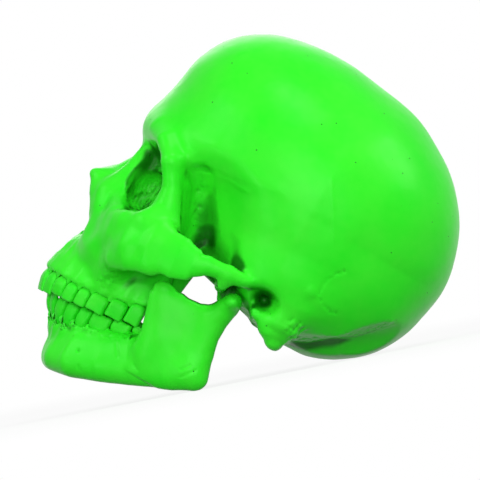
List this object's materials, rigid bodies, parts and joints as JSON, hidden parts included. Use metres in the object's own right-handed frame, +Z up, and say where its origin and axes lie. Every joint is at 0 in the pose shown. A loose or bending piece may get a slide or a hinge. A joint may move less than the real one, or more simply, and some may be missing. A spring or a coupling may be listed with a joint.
{
  "type": "anatomical skull model",
  "caption": "Life-size anatomical model of a human skull in satin resin, with teeth set in sockets and a lower jaw hinged on pins.",
  "frame": {"origin": "on the table, under the centre of the model's bounding box, with the model lying on the two angles of its lower jaw and on the back of its head", "axes": "+X to the skull's left, +Y to the back of the head, +Z up from the table"},
  "size_m": [0.1404, 0.2348, 0.1808],
  "materials": {
    "bone_resin": "satin cast resin",
    "tooth_resin": "satin cast resin",
    "pin_steel": "turned steel"
  },
  "bodies": {
    "skull": {"cranium": "bone_resin", "upper_left_central_incisor": "tooth_resin", "upper_left_lateral_incisor": "tooth_resin", "upper_left_canine": "tooth_resin", "upper_left_first_premolar": "tooth_resin", "upper_left_second_premolar": "tooth_resin", "upper_left_first_molar": "tooth_resin", "upper_left_second_molar": "tooth_resin", "upper_left_third_molar": "tooth_resin", "upper_right_central_incisor": "tooth_resin", "upper_right_lateral_incisor": "tooth_resin", "upper_right_canine": "tooth_resin", "upper_right_first_premolar": "tooth_resin", "upper_right_second_premolar": "tooth_resin", "upper_right_first_molar": "tooth_resin", "upper_right_second_molar": "tooth_resin", "upper_right_third_molar": "tooth_resin"},
    "jaw": {"mandible": "bone_resin", "lower_left_central_incisor": "tooth_resin", "lower_left_lateral_incisor": "tooth_resin", "lower_left_canine": "tooth_resin", "lower_left_first_premolar": "tooth_resin", "lower_left_second_premolar": "tooth_resin", "lower_left_first_molar": "tooth_resin", "lower_left_second_molar": "tooth_resin", "lower_left_third_molar": "tooth_resin", "lower_right_central_incisor": "tooth_resin", "lower_right_lateral_incisor": "tooth_resin", "lower_right_canine": "tooth_resin", "lower_right_first_premolar": "tooth_resin", "lower_right_second_premolar": "tooth_resin", "lower_right_first_molar": "tooth_resin", "lower_right_second_molar": "tooth_resin", "lower_right_third_molar": "tooth_resin", "pivot_pin_left": "pin_steel", "pivot_pin_right": "pin_steel"}
  },
  "joints": [
    {"name": "jaw_hinge", "type": "hinge", "parent": "skull", "child": "jaw", "pos_m": [0, -0.01106, 0.04217], "axis": [1, 0, 0], "range_deg": [0, 25]}
  ]
}
